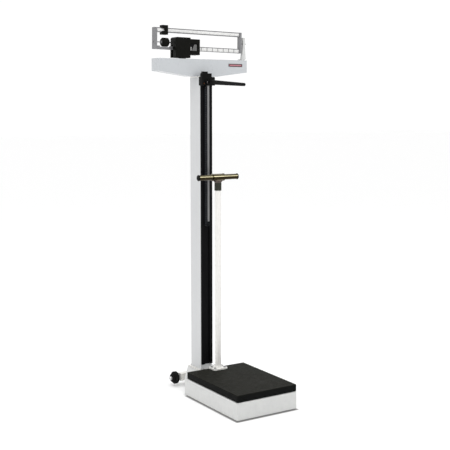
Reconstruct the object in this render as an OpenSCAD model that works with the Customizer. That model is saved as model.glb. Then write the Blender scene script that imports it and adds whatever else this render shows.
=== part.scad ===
// Physician beam scale: a lever platform with a handpost, a column with a height rod, and a
// balance beam above a tapered box. Millimetres, +Z up. X = 0 is the column's centre plane and
// the floor is Z = 0. The depths below are counted from the front edge of the base towards
// the column; placed() moves them to the origin, which is under the middle of the whole scale.

/* [Base] */
// Width of the base
base_w = 277; // [235:1:330]
// Length of the straight sides of the base
straight_d = 389; // [330:1:460]
// Length of the part of the base that tapers towards the wheels
taper_d = 153; // [140:1:190]
// Width of the base at its narrow rear end
rear_w = 66; // [64:1:100]
// Height of the top of the base above the floor
base_top = 72; // [70:1:84]
// Wall of the base casting
base_wall = 3; // [2:0.5:4]
// Rounding of the two front corners of the base
base_corner_r = 6; // [5:1:20]
// Height of the rubber feet
foot_h = 5; // [4:1:10]
// Width of the rubber feet
foot_w = 26; // [20:1:30]

/* [Platform] */
// Height of the platform, from its lower edge to the top of the mat
platform_h = 26.5; // [24:0.5:36]
// Gap between the base and the lower edge of the platform
platform_gap = 2; // [1.5:0.5:5]
// Sheet thickness of the platform
platform_sheet = 3; // [2:0.5:4]
// Thickness of the mat on top of the platform
mat_top = 3; // [2:0.5:5]
// Thickness of the mat's skirt
mat_skirt = 2; // [1.5:0.5:3]

/* [Handpost] */
// Diameter of the handpost
post_w = 24.7; // [20:0.1:32]
// Wall of the handpost
post_wall = 1.8; // [1.2:0.1:3]
// Height of the crossbar above the floor
crossbar_z = 886; // [700:1:1000]
// Length of the crossbar over its caps
bar_l = 186.5; // [160:1:260]
// Diameter of the crossbar
bar_w = 22; // [18:0.5:24]
// Width of the foot plate under the handpost
post_foot_w = 64; // [56:1:80]
// Depth of the foot plate under the handpost
post_foot_d = 52; // [48:1:60]

/* [Column] */
// Width of the column
column_w = 52; // [42:0.5:60]
// Depth of the column
column_d = 80; // [66:1:90]
// Wall of the column
column_wall = 2; // [1.5:0.5:3]
// Depth from the end of the straight sides to the column
column_setback = 57; // [50:1:70]
// How far the black guide channel stands proud of the column
channel_d = 7; // [6.5:0.5:9]
// Height of the lower end of the guide channel
channel_z0 = 98; // [92:1:200]

/* [Beam box] */
// Height of the top of the beam box above the floor
box_top = 1355.5; // [1200:0.5:1500]
// Width of the beam box
box_w = 417; // [400:1:460]
// Depth of the beam box
box_d = 55.6; // [52:0.2:70]
// Height of the beam box at its ends
box_end_h = 50; // [48:1:60]
// Height of the beam box at its middle
box_mid_h = 69; // [64:1:90]
// Width of the flat middle of the box's underside
box_flat_w = 122; // [100:1:160]
// Wall of the beam box
box_wall = 2.5; // [2:0.5:3]
// Distance from the front of the column to the front of the box
box_setback = 13.8; // [8:0.2:16]

/* [Beam] */
// Left end of the beam frame
beam_left = -217; // [-222:1:-204]
// Right end of the beam frame
beam_right = 193.5; // [180:0.5:196]
// Height of the beam frame's lower edge above the box
beam_lift = 33.2; // [30:0.2:45]
// Height of the beam frame
beam_h = 84.5; // [80:0.5:100]
// Thickness of the beam's two bars
beam_t = 10; // [8:0.5:11]
// Height of the lower bar
lower_bar_h = 18; // [16:0.5:22]
// Height of the upper bar
upper_bar_h = 18.4; // [15:0.2:20]
// Position of the beam's fulcrum
fulcrum_x = -84; // [-86:0.5:-82]
// Distance between the beam's fulcrum and its load pivot
load_arm = 25; // [24:0.5:27]
// Tilt of the resting beam, right end down, in degrees
beam_rest_tilt = 0.85; // [0.4:0.05:1.1]
// Diameter of the balance ball
ball_w = 35; // [30:0.5:38]
// Length of the balance ball
ball_l = 30; // [20:0.5:32]

/* [Height rod] */
// Length of the outer, graduated rod
outer_rod_l = 568; // [480:1:600]
// Width of the outer rod
outer_rod_w = 24; // [22:0.5:28]
// How far the outer rod stands in front of the guide channel
outer_rod_proud = 6.5; // [5:0.5:9]
// Height of the lower end of the outer rod
outer_rod_z0 = 679; // [620:1:700]
// Width of the bright inner rod
inner_rod_w = 9; // [7:0.5:10]
// Reach of the headpiece arm, from its pin to its tip
arm_l = 243; // [180:1:280]
// Droop of the unfolded headpiece arm, in degrees
arm_droop = 3.3; // [0:0.1:5]

/* [Wheels] */
// Diameter of the wheels
wheel_w = 51.5; // [46:0.5:56]
// Thickness of the wheels
wheel_t = 20; // [16:0.5:24]
// Diameter of the wheel axle
axle_w = 10; // [8:0.5:12]
// Distance between the middles of the two wheels
wheel_track = 210; // [200:1:230]
// How far the wheel's hub stands out from its outer side
hub_out = 7; // [3:0.5:8]

/* [Fits] */
// Gap between pieces that slide past each other
slide_gap = 0.3; // [0.3:0.05:0.5]
// Radial clearance of a turning fit
run_gap = 0.05; // [0.02:0.01:0.1]
// Radial clearance of a screw in its hole
screw_gap = 0.2; // [0.1:0.05:0.4]
// Gap under a knife edge in its bearing
edge_gap = 0.1; // [0.05:0.05:0.2]

/* [Hidden] */
$fn = 48;

// Depths, from the front edge of the base
rear_y = straight_d + taper_d;
column_y0 = straight_d + column_setback;
column_y1 = column_y0 + column_d;
channel_y0 = column_y0 - channel_d;
box_y0 = column_y0 + box_setback;
box_y1 = box_y0 + box_d;
beam_y = (box_y0 + box_y1) / 2;
axle_y = rear_y - 14;
wheel_z = wheel_w / 2 + foot_h + 3.5;
overall_d = axle_y + wheel_w / 2;
nut_x0 = wheel_track / 2 + wheel_t / 2 + hub_out + slide_gap;
axle_end = nut_x0 + 3.5;
front_y = -overall_d / 2;

// Base
base_floor = foot_h + base_wall;
taper_a = atan2(base_w / 2 - rear_w / 2, taper_d);
lip_w = 8;
platform_inset = 2.2;
platform_d = straight_d - 17;
foot_inset = 24;
foot_spots = [for (sx = [-1, 1]) for (y = [foot_inset, straight_d - foot_inset])
    [sx * (base_w / 2 - foot_inset), y]];
foot_screw_w = 4;
foot_head_w = 8;
foot_head_h = 2;

// Levers under the platform: a long lever from the front corners to the draw rod, and a
// short lever from the back corners to a saddle on the long one
long_z0 = 34;
short_z0 = 50;
lever_h = 10;
lever_bar_w = 10;
knife_r = 3.5;
long_fulcrum_y = 40;
long_load_y = long_fulcrum_y + 40;
short_lever_run = 115;
short_fulcrum_y = straight_d - 49;
saddle_y = short_fulcrum_y - short_lever_run;
short_load_y = short_fulcrum_y - short_lever_run
    * (long_load_y - long_fulcrum_y) / (saddle_y - long_fulcrum_y);
lever_spread = base_w / 2 - 37.5;
long_nose_x = 11;
short_nose_x = 12;
long_start_y = long_fulcrum_y - 12;
long_end_y = beam_y + 7;
short_start_y = short_fulcrum_y + 6;
short_end_y = saddle_y - 6;
function along(y, y0, x0, y1, x1) = x0 + (y - y0) * (x1 - x0) / (y1 - y0);
function long_x(y) = along(y, long_start_y, lever_spread, long_end_y, long_nose_x);
function short_x(y) = along(y, short_start_y, lever_spread, short_end_y, short_nose_x);
long_tie_y = long_load_y + 40;
nose_tie_y = beam_y - 60;
fulcrum_edge = 1;
load_edge = lever_h - 1;
knife_l = 36;
stand_slot = lever_bar_w + 12;
bearing_w = (knife_l + 2 - stand_slot) / 2;
bearing_d = 10;
vee_h = 3;
bearing_h = vee_h + 4;
eye_r = 5.2;
eye_wall = 3.3;

// Platform
platform_z0 = base_top + platform_gap;
platform_top = platform_z0 + platform_h;
plate_top = platform_top - mat_top;
plate_under = plate_top - platform_sheet;

// Handpost
post_y = straight_d - 35;
post_foot_h = 8;
post_foot_y0 = post_y - post_foot_d / 2;
post_screw_w = 6;
post_screw_spots = [for (sx = [-1, 1]) for (sy = [-1, 1])
    [sx * (post_foot_w / 2 - 9), post_y - 2 + sy * 12]];
tee_w = max(bar_w + 7, post_w + 4.3);
tee_l = 52.5;
neck_z0 = crossbar_z - 22;
collar_h = 31;
collar_w = post_w + 3.8;
collar_ribs = 6;
cap_l = 4;
cap_w = bar_w + 2.4;

// Column and guide channel
flange_t = 4;
column_top = box_top - box_mid_h - flange_t;
foot_flange_side = 8;
foot_flange_end = 12;
column_bolt_w = 6;
column_bolt_spots = [for (sx = [-1, 1]) for (y = [column_y0 - foot_flange_end / 2,
    column_y1 + foot_flange_end / 2]) [sx * 19, y]];
rod_hole_w = 24;
channel_z1 = box_top - box_mid_h - 1.5;
channel_sheet = 1.6;
channel_slot = outer_rod_w + 2 * (slide_gap + 0.1);
rod_flange_w = outer_rod_w + 6;
rod_flange_y0 = channel_y0 + channel_sheet + slide_gap + 0.1;
rod_flange_y1 = column_y0 - channel_sheet - slide_gap;
channel_screw_w = 3.2;
channel_screw_spots = [for (i = [0 : 4]) channel_z0 + 36
    + i * (channel_z1 - channel_z0 - 72) / 4];

// Height rod and headpiece
rod_y0 = channel_y0 - outer_rod_proud;
groove_x = 4.2;
groove_front_d = 3;
groove_back_d = 4;
inner_back_w = inner_rod_w + 3.2;
groove_z0 = outer_rod_z0 + 14;
inner_rod_z0 = groove_z0 + 6;
head_z0 = outer_rod_z0 + outer_rod_l + 3;
head_h = 48;
head_half = column_w / 2 + 4.05;
head_front_d = 16;
head_y0 = channel_y0 - 15.8;
head_cheek = 3.5;
head_wrap = 11;
arm_pin_w = 5;
arm_pin_y = head_y0 - 11.7;
arm_pin_z = head_z0 + 13;
arm_root_h = 18.5;
arm_tip_h = 12;
arm_t = 17;
ear_t = 4;

// Beam box
box_cover_t = 2;
box_bottom = box_top - box_mid_h;
shelf_z0 = box_bottom + 13.5;
shelf_t = 4;
shelf_top = shelf_z0 + shelf_t;
shelf_half_d = 24;
shelf_leg_w = 12;
shelf_bolt_w = 6;
shelf_bolt_spots = [for (sx = [-1, 1]) for (sy = [-1, 1]) [sx * 16, beam_y + sy * 17]];
neck_opening = [44, 26];
cover_screw_w = 3.2;
cover_screw_spots = [for (sx = [-1, 1]) for (dz = [9, box_end_h - 12])
    [sx * (box_w / 2 - 14), box_top - dz]];
trig_foot_t = 3;
trig_screw_spots = [for (sy = [-1, 1]) [box_w / 2 - 17, beam_y + sy * 6]];

// Beam and its pivots
fulcrum_z = box_top - 25.5;
beam_z0 = box_top + beam_lift;
beam_z1 = beam_z0 + beam_h;
upper_z0 = beam_z1 - upper_bar_h;
lower_z1 = beam_z0 + lower_bar_h;
left_bar_h = lower_bar_h - 3.8;
left_upright_w = 13;
left_upright_d = 20;
right_upright_w = 9.8;
right_upright_d = 18;
neck_w = 28;
neck_t = 8;
neck_x0 = fulcrum_x - neck_w / 2;
butt_h = 18;
butt_z0 = fulcrum_z - 9;
load_x = fulcrum_x - load_arm;
load_edge_z = fulcrum_z + load_arm * sin(beam_rest_tilt);
stand_gap = 29;
stand_cheek = 4;
notch_pitch = 20;
notch_count = 9;
strip_t = 0.4;
screw_w = 5;
ball_x = -165;
ball_travel = 7.5;
ball_recess = 4;
recess_z = beam_z0 + left_bar_h - ball_recess;
recess_half = ball_l / 2 + ball_travel + 1;
ball_z = recess_z + 0.9 + ball_w / 2;
bush_w = 9;
tip_z = box_top + 72.5;
tip_h = 4;
tip_end = beam_right + 24.5;
tip_drop = (beam_right + 16 - fulcrum_x) * sin(beam_rest_tilt);
trig_x0 = 204;
trig_w = 10.5;

// Transfer lever in the box: it joins the draw rod to the beam
transfer_z0 = shelf_top + 3.2;
transfer_h = 10;
transfer_fulcrum_x = 36;
transfer_plate_y = 9.5;
transfer_plate_t = 3;
transfer_low = transfer_z0 + 2;
transfer_high = transfer_z0 + transfer_h - 2;

// Poises
main_x0 = fulcrum_x - 47;
main_w = 67.2;
main_z0 = box_top + 3;
main_h = 80;
main_y0 = beam_y - 29.8;
main_y1 = beam_y + 15.2;
slot_y0 = beam_y - beam_t / 2 - strip_t - slide_gap;
slot_y1 = beam_y + beam_t / 2 + slide_gap + 0.1;
poise_wall = 4;
dial_w = 46.4;
dial_h = 61.8;
dial_y0 = beam_y - 24.8;
dial_z0 = main_z0 + 13.5;
small_x0 = fulcrum_x - 98;
small_w = 26;
small_d = 24;
small_notch = 11;
small_z0 = upper_z0 - 8.7;
small_h = 37;

// ---- helpers ----

module placed() { translate([0, front_y, 0]) children(); }

module beam_at_rest() {
    placed()
        translate([fulcrum_x, beam_y, fulcrum_z])
            rotate([0, beam_rest_tilt, 0])
                translate([-fulcrum_x, -beam_y, -fulcrum_z])
                    children();
}

// An outline drawn in X and Z, made solid from depth y to y + d
module slab_xz(y, d) { translate([0, y + d, 0]) rotate([90, 0, 0]) linear_extrude(d) children(); }

// An outline drawn in Y and Z, made solid from x to x + w
module slab_yz(x, w) { translate([x, 0, 0]) rotate([90, 0, 90]) linear_extrude(w) children(); }

module block(x, y, z) {
    translate([x[0], y[0], z[0]]) cube([x[1] - x[0], y[1] - y[0], z[1] - z[0]]);
}

module bar_x(x0, x1, y, z, w) { translate([x0, y, z]) rotate([0, 90, 0]) cylinder(h = x1 - x0, d = w); }

module bar_y(y0, y1, x, z, w) { translate([x, y0, z]) rotate([-90, 0, 0]) cylinder(h = y1 - y0, d = w); }

module bar_z(z0, z1, x, y, w) { translate([x, y, z0]) cylinder(h = z1 - z0, d = w); }

module hex_z(z0, z1, x, y, w) { translate([x, y, z0]) cylinder(h = z1 - z0, d = w, $fn = 6); }

// A three-sided pivot along X whose working edge, at depth y and height z, points up or down
module knife_x(x0, x1, y, z, up) {
    translate([x0, y, z + (up ? -knife_r : knife_r)])
        rotate([0, 90, 0])
            rotate([0, 0, up ? 180 : 0])
                cylinder(h = x1 - x0, r = knife_r, $fn = 3);
}

module knife_y(y0, y1, x, z, up) {
    translate([x, y0, z + (up ? -knife_r : knife_r)])
        rotate([-90, 0, 0])
            rotate([0, 0, up ? -90 : 90])
                cylinder(h = y1 - y0, r = knife_r, $fn = 3);
}

// A vee whose lowest point, or highest when up is true, is at [0, z]
module vee(z, h, up) {
    s = up ? -1 : 1;
    polygon([[0, z], [h * 1.3, z + s * h], [-h * 1.3, z + s * h]]);
}

// A flat bar in plan, from one point to another
module plan_bar(a, b, w) {
    run = b - a;
    translate(a)
        rotate(atan2(run[1], run[0]))
            translate([0, -w / 2])
                square([norm(run), w]);
}

// A flat bar in plan that ties the two arms of a lever together
module cross_tie(x, y, w) { translate([-x, y - w / 2]) square([2 * x, w]); }

module stadium(z0, z1, r) {
    translate([0, z0]) circle(r);
    translate([0, z1]) circle(r);
    translate([-r, z0]) square([2 * r, z1 - z0]);
}

module mirrored() {
    children();
    mirror([1, 0, 0]) children();
}

// ---- base ----

// The base seen from above, with its edge moved inwards
module base_plan(inset) {
    half = base_w / 2 - inset;
    r = base_corner_r - inset;
    bend_y = straight_d - inset * tan(taper_a / 2);
    end_y = rear_y - inset;
    end_x = half - (end_y - bend_y) * tan(taper_a);
    polygon([
        [-half, base_corner_r], [-half + r, inset], [half - r, inset], [half, base_corner_r],
        [half, bend_y], [end_x, end_y], [-end_x, end_y], [-half, bend_y]
    ]);
    for (sx = [-1, 1]) translate([sx * (half - r), base_corner_r]) circle(r);
}

module base_pan() {
    color("gainsboro") placed() difference() {
        translate([0, 0, foot_h]) linear_extrude(base_top - foot_h) base_plan(0);
        translate([0, 0, base_floor])
            linear_extrude(base_top - base_wall - base_floor) base_plan(base_wall);
        block([-base_w / 2 + lip_w, base_w / 2 - lip_w], [lip_w, platform_d - lip_w],
            [base_floor, base_top + 1]);
        bar_z(base_top - base_wall - 1, base_top + 1, 0, beam_y, rod_hole_w);
        for (p = column_bolt_spots)
            bar_z(base_top - base_wall - 1, base_top + 1, p[0], p[1],
                column_bolt_w + 2 * screw_gap);
        for (p = foot_spots)
            bar_z(foot_h - 1, base_floor + 1, p[0], p[1], foot_screw_w + 2 * screw_gap);
        bar_x(-base_w / 2, base_w / 2, axle_y, wheel_z, axle_w);
    }
}

module rubber_feet() {
    color("dimgray") placed() for (p = foot_spots) difference() {
        bar_z(0, foot_h, p[0], p[1], foot_w);
        bar_z(-1, foot_h + 1, p[0], p[1], foot_screw_w + 2 * screw_gap);
        bar_z(-1, foot_head_h + 0.5, p[0], p[1], foot_head_w + 2 * screw_gap);
    }
}

module foot_screws() {
    color("silver") placed() for (p = foot_spots) {
        bar_z(0.5, foot_head_h + 0.5, p[0], p[1], foot_head_w);
        bar_z(foot_head_h + 0.5, base_floor + 3, p[0], p[1], foot_screw_w);
        hex_z(base_floor, base_floor + 3, p[0], p[1], 2 * foot_screw_w);
    }
}

// ---- levers in the base ----

module stand_blank(x, y, z) {
    difference() {
        block([x - knife_l / 2 - 1, x + knife_l / 2 + 1], [y - 7, y + 7], [base_floor, z - 4]);
        block([x - stand_slot / 2, x + stand_slot / 2], [y - 8, y + 8], [z - 12, z]);
    }
}

module lever_stands() {
    color("slategray") placed() mirrored() {
        stand_blank(long_x(long_fulcrum_y), long_fulcrum_y, long_z0 + fulcrum_edge);
        stand_blank(short_x(short_fulcrum_y), short_fulcrum_y, short_z0 + fulcrum_edge);
    }
}

module bearing_pair(x, y, z) {
    for (sx = [-1, 1]) translate([x + sx * (stand_slot + bearing_w) / 2 - bearing_w / 2, y, 0])
        difference() {
            translate([0, -bearing_d / 2, z - 4]) cube([bearing_w, bearing_d, bearing_h]);
            slab_yz(-1, bearing_w + 2) vee(z - edge_gap, vee_h + 1, false);
        }
}

module lever_bearings() {
    color("lightsteelblue") placed() mirrored() {
        bearing_pair(long_x(long_fulcrum_y), long_fulcrum_y, long_z0 + fulcrum_edge);
        bearing_pair(short_x(short_fulcrum_y), short_fulcrum_y, short_z0 + fulcrum_edge);
    }
}

module long_lever_knives() {
    color("silver") placed() {
        for (sx = [-1, 1]) {
            x1 = sx * long_x(long_fulcrum_y);
            x2 = sx * long_x(long_load_y);
            knife_x(x1 - knife_l / 2, x1 + knife_l / 2, long_fulcrum_y,
                long_z0 + fulcrum_edge, false);
            knife_x(x2 - knife_l / 2, x2 + knife_l / 2, long_load_y, long_z0 + load_edge, true);
        }
        knife_x(-long_nose_x - 3, long_nose_x + 3, beam_y, long_z0 + fulcrum_edge, false);
    }
}

module long_lever() {
    color("slategray") difference() {
        placed() translate([0, 0, long_z0]) {
            mirrored() linear_extrude(lever_h)
                plan_bar([lever_spread, long_start_y], [long_nose_x + 1, long_end_y],
                    lever_bar_w);
            linear_extrude(lever_h) cross_tie(long_x(saddle_y), saddle_y, 14);
            linear_extrude(lever_h) cross_tie(long_x(long_tie_y), long_tie_y, 8);
            linear_extrude(lever_h) cross_tie(long_x(nose_tie_y), nose_tie_y, 8);
        }
        long_lever_knives();
        placed() block([-6, 6], [beam_y - 20, long_end_y + 10], [long_z0 - 1,
            long_z0 + lever_h + 1]);
    }
}

// The seat on the long lever that the short lever presses on
module lever_saddle() {
    color("lightsteelblue") placed() difference() {
        block([-6, 6], [saddle_y - 6, saddle_y + 6], [long_z0 + lever_h,
            short_z0 + fulcrum_edge + vee_h]);
        translate([0, saddle_y, 0])
            slab_yz(-7, 14) vee(short_z0 + fulcrum_edge - edge_gap, vee_h + 1, false);
    }
}

module short_lever_knives() {
    color("silver") placed() {
        for (sx = [-1, 1]) {
            x1 = sx * short_x(short_fulcrum_y);
            x2 = sx * short_x(short_load_y);
            knife_x(x1 - knife_l / 2, x1 + knife_l / 2, short_fulcrum_y,
                short_z0 + fulcrum_edge, false);
            knife_x(x2 - knife_l / 2, x2 + knife_l / 2, short_load_y,
                short_z0 + load_edge, true);
        }
        knife_x(-short_nose_x - 4, short_nose_x + 4, saddle_y, short_z0 + fulcrum_edge, false);
    }
}

module short_lever() {
    tie_y = (short_load_y + saddle_y) / 2 + 10;
    color("slategray") difference() {
        placed() translate([0, 0, short_z0]) {
            mirrored() linear_extrude(lever_h)
                plan_bar([lever_spread, short_start_y], [short_nose_x, short_end_y],
                    lever_bar_w);
            linear_extrude(lever_h) cross_tie(short_x(tie_y), tie_y, 8);
        }
        short_lever_knives();
        placed() block([-7, 7], [short_end_y - 10, saddle_y + 14], [short_z0 - 1,
            short_z0 + lever_h + 1]);
    }
}

module draw_rod() {
    nose_z = long_z0 + fulcrum_edge - edge_gap + eye_r;
    top_z = transfer_high + edge_gap - eye_r;
    color("silver") placed() difference() {
        union() {
            bar_x(-4, 4, beam_y, nose_z, 2 * (eye_r + eye_wall));
            bar_z(nose_z + eye_r + 1, top_z - eye_r - 1, 0, beam_y, 8);
            bar_y(beam_y - 4, beam_y + 4, 0, top_z, 2 * (eye_r + eye_wall));
        }
        bar_x(-5, 5, beam_y, nose_z, 2 * eye_r);
        bar_y(beam_y - 5, beam_y + 5, 0, top_z, 2 * eye_r);
    }
}

// ---- platform and handpost ----

module platform_area(inset) {
    translate([-base_w / 2 + platform_inset + inset, platform_inset + inset])
        square([base_w - 2 * (platform_inset + inset),
            platform_d - platform_inset - 2 * inset]);
}

module platform_plate() {
    skirt = platform_sheet - 0.5;
    color("dimgray") placed() difference() {
        translate([0, 0, platform_z0])
            linear_extrude(plate_top - platform_z0) platform_area(mat_skirt);
        translate([0, 0, platform_z0 - 1])
            linear_extrude(plate_under - platform_z0 + 1) platform_area(mat_skirt + skirt);
        for (p = post_screw_spots)
            bar_z(plate_under - 1, plate_top + 1, p[0], p[1], post_screw_w + 2 * screw_gap);
    }
}

module platform_mat() {
    notch_half = post_foot_w / 2 + 0.5;
    color("black") placed() difference() {
        translate([0, 0, platform_z0])
            linear_extrude(platform_h) platform_area(0);
        translate([0, 0, platform_z0 - 1])
            linear_extrude(plate_top - platform_z0 + 1) platform_area(mat_skirt);
        block([-notch_half, notch_half], [post_foot_y0 - 0.5, platform_d + 1],
            [plate_top, platform_top + 1]);
    }
}

// A hanger under the platform with a vee that sits on a load pivot
module hanger(x, y, z, lever_top) {
    difference() {
        block([x - knife_l / 2 - 1, x + knife_l / 2 + 1], [y - 6, y + 6], [z - vee_h,
            plate_under]);
        block([x - stand_slot / 2, x + stand_slot / 2], [y - 7, y + 7], [z - vee_h - 1,
            lever_top + 3]);
        translate([0, y, 0])
            slab_yz(x - knife_l / 2 - 2, knife_l + 4) vee(z + edge_gap, vee_h + 1, true);
    }
}

module platform_bearings() {
    color("slategray") placed() mirrored() {
        hanger(long_x(long_load_y), long_load_y, long_z0 + load_edge, long_z0 + lever_h);
        hanger(short_x(short_load_y), short_load_y, short_z0 + load_edge, short_z0 + lever_h);
    }
}

module post_flange() {
    r = 8;
    color("ivory") placed() difference() {
        union() {
            translate([0, 0, plate_top]) linear_extrude(post_foot_h) {
                square_half = post_foot_w / 2;
                translate([-square_half, post_foot_y0 + r]) square([post_foot_w,
                    post_foot_d - 2 * r]);
                translate([-square_half + r, post_foot_y0]) square([post_foot_w - 2 * r,
                    post_foot_d]);
                for (sx = [-1, 1]) for (sy = [-1, 1])
                    translate([sx * (square_half - r), post_y + sy * (post_foot_d / 2 - r)])
                        circle(r);
            }
            bar_z(plate_top + post_foot_h, plate_top + post_foot_h + 5, 0, post_y, post_w + 7);
        }
        bar_z(plate_top + 2, plate_top + post_foot_h + 6, 0, post_y, post_w);
        for (p = post_screw_spots)
            bar_z(plate_top - 1, plate_top + post_foot_h + 1, p[0], p[1],
                post_screw_w + 2 * screw_gap);
    }
}

module post_screws() {
    head_z = plate_top + post_foot_h;
    color("silver") placed() for (p = post_screw_spots) {
        bar_z(plate_under - 4, head_z, p[0], p[1], post_screw_w);
        difference() {
            bar_z(head_z, head_z + 3.5, p[0], p[1], 10);
            hex_z(head_z + 1, head_z + 4, p[0], p[1], 5);
        }
    }
}

module post_tube() {
    color("white") placed() difference() {
        bar_z(plate_top + 2, neck_z0 + 6, 0, post_y, post_w);
        bar_z(plate_top + 1, neck_z0 + 7, 0, post_y, post_w - 2 * post_wall);
    }
}

module post_collar() {
    pitch = collar_h / collar_ribs;
    color("darkslategray") placed() difference() {
        bar_z(neck_z0 - collar_h, neck_z0, 0, post_y, collar_w);
        bar_z(neck_z0 - collar_h - 1, neck_z0 + 1, 0, post_y, post_w);
        for (i = [1 : collar_ribs - 1]) translate([0, post_y, neck_z0 - collar_h + i * pitch])
            rotate_extrude() translate([collar_w / 2, 0]) circle(d = 1.6);
    }
}

module tee_fitting() {
    color("lightgray") placed() difference() {
        union() {
            bar_x(-tee_l / 2, tee_l / 2, post_y, crossbar_z, tee_w);
            bar_z(neck_z0, crossbar_z, 0, post_y, post_w + 3.4);
            slab_xz(post_y - 8, 16) polygon([[-13, neck_z0 + 3], [13, neck_z0 + 3],
                [tee_l / 2 - 5, crossbar_z - 9], [-tee_l / 2 + 5, crossbar_z - 9]]);
            for (sx = [-1, 1])
                bar_x(sx * (tee_l / 2 - 2) - 2, sx * (tee_l / 2 - 2) + 2, post_y, crossbar_z,
                    tee_w + 1.5);
        }
        bar_x(-tee_l, tee_l, post_y, crossbar_z, bar_w);
        bar_z(neck_z0 - 1, neck_z0 + 6, 0, post_y, post_w);
    }
}

module crossbar() {
    color("silver") placed() difference() {
        bar_x(-bar_l / 2 + 2, bar_l / 2 - 2, post_y, crossbar_z, bar_w);
        bar_x(-bar_l, bar_l, post_y, crossbar_z, bar_w - 4);
    }
}

module bar_caps() {
    color("black") placed() mirrored() difference() {
        union() {
            bar_x(bar_l / 2 - cap_l, bar_l / 2 - 1.5, post_y, crossbar_z, cap_w);
            bar_x(bar_l / 2 - 1.5, bar_l / 2, post_y, crossbar_z, cap_w - 3);
        }
        bar_x(bar_l / 2 - cap_l - 1, bar_l / 2 - 2, post_y, crossbar_z, bar_w);
    }
}

// ---- column ----

module column_area(inset) {
    translate([-column_w / 2 + inset, column_y0 + inset])
        square([column_w - 2 * inset, column_d - 2 * inset]);
}

module column_tube() {
    color("whitesmoke") placed() difference() {
        translate([0, 0, base_top]) linear_extrude(column_top - base_top) column_area(0);
        translate([0, 0, base_top - 1])
            linear_extrude(column_top - base_top + 2) column_area(column_wall);
        for (z = channel_screw_spots)
            bar_y(column_y0 - 1, column_y0 + column_wall + 1, 0, z, channel_screw_w);
    }
}

module column_flanges() {
    color("whitesmoke") placed() {
        difference() {
            block([-column_w / 2 - foot_flange_side, column_w / 2 + foot_flange_side],
                [column_y0 - foot_flange_end, column_y1 + foot_flange_end],
                [base_top, base_top + flange_t]);
            translate([0, 0, base_top - 1]) linear_extrude(flange_t + 2) column_area(0);
            for (p = column_bolt_spots)
                bar_z(base_top - 1, base_top + flange_t + 1, p[0], p[1],
                    column_bolt_w + 2 * screw_gap);
        }
        difference() {
            translate([0, 0, column_top]) linear_extrude(flange_t) column_area(0);
            bar_z(column_top - 1, box_bottom + 1, 0, beam_y, rod_hole_w);
            for (p = shelf_bolt_spots)
                bar_z(column_top - 1, box_bottom + 1, p[0], p[1], shelf_bolt_w);
        }
    }
}

module column_bolts() {
    head_z = base_top + flange_t;
    color("silver") placed() for (p = column_bolt_spots) {
        bar_z(base_top - 10, head_z, p[0], p[1], column_bolt_w);
        hex_z(head_z, head_z + 4, p[0], p[1], 10.5);
    }
}

module guide_channel() {
    half = column_w / 2;
    color("black") placed() difference() {
        block([-half, half], [channel_y0, column_y0], [channel_z0, channel_z1]);
        block([-half + channel_sheet, half - channel_sheet], [channel_y0 + channel_sheet,
            column_y0 - channel_sheet], [channel_z0 - 1, channel_z1 + 1]);
        block([-channel_slot / 2, channel_slot / 2], [channel_y0 - 1, channel_y0 + 3],
            [channel_z0 - 1, channel_z1 + 1]);
        for (z = channel_screw_spots)
            bar_y(column_y0 - 3, column_y0 + 1, 0, z, 2 * channel_screw_w);
    }
}

module channel_screws() {
    color("silver") placed() for (z = channel_screw_spots) {
        bar_y(column_y0 - channel_sheet, column_y0, 0, z, 2 * channel_screw_w);
        bar_y(column_y0, column_y0 + 6, 0, z, channel_screw_w);
    }
}

// ---- height rod ----

module rod_outline(w, z0, z1) {
    translate([-w / 2, z0 + outer_rod_w / 2]) square([w, z1 - z0 - outer_rod_w / 2]);
    intersection() {
        translate([0, z0 + outer_rod_w / 2]) circle(d = outer_rod_w);
        translate([-w / 2, z0]) square([w, outer_rod_w]);
    }
}

module outer_rod() {
    z1 = outer_rod_z0 + outer_rod_l;
    front_w = inner_rod_w + 2 * slide_gap;
    back_w = inner_back_w + 2 * slide_gap;
    y1 = rod_y0 + groove_front_d + slide_gap;
    color("black") placed() difference() {
        union() {
            slab_xz(rod_y0, rod_flange_y1 - rod_y0)
                rod_outline(outer_rod_w, outer_rod_z0, z1);
            block([-rod_flange_w / 2, rod_flange_w / 2], [rod_flange_y0, rod_flange_y1],
                [groove_z0, z1]);
        }
        block([groove_x - front_w / 2, groove_x + front_w / 2], [rod_y0 - 1, y1 + 1],
            [groove_z0, z1 + 1]);
        block([groove_x - back_w / 2, groove_x + back_w / 2], [y1 - 2 * slide_gap,
            y1 + groove_back_d], [groove_z0, z1 + 1]);
        bar_y(rod_y0 - 1, rod_y0 + 6, 0, outer_rod_z0 + 7, 5);
    }
}

module rod_button() {
    color("silver") placed() {
        bar_y(rod_y0, rod_y0 + 6, 0, outer_rod_z0 + 7, 5);
        bar_y(rod_y0 - 2.5, rod_y0, 0, outer_rod_z0 + 7, 8);
    }
}

module inner_rod_bars(z0, z1) {
    y1 = rod_y0 + groove_front_d + slide_gap;
    block([groove_x - inner_rod_w / 2, groove_x + inner_rod_w / 2], [rod_y0 + 0.4, y1], [z0, z1]);
    block([groove_x - inner_back_w / 2, groove_x + inner_back_w / 2],
        [y1 - slide_gap, y1 + groove_back_d - slide_gap], [z0, z1]);
}

module inner_rod() {
    color("silver") placed() inner_rod_bars(inner_rod_z0, head_z0 + head_h - 8);
}

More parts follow.
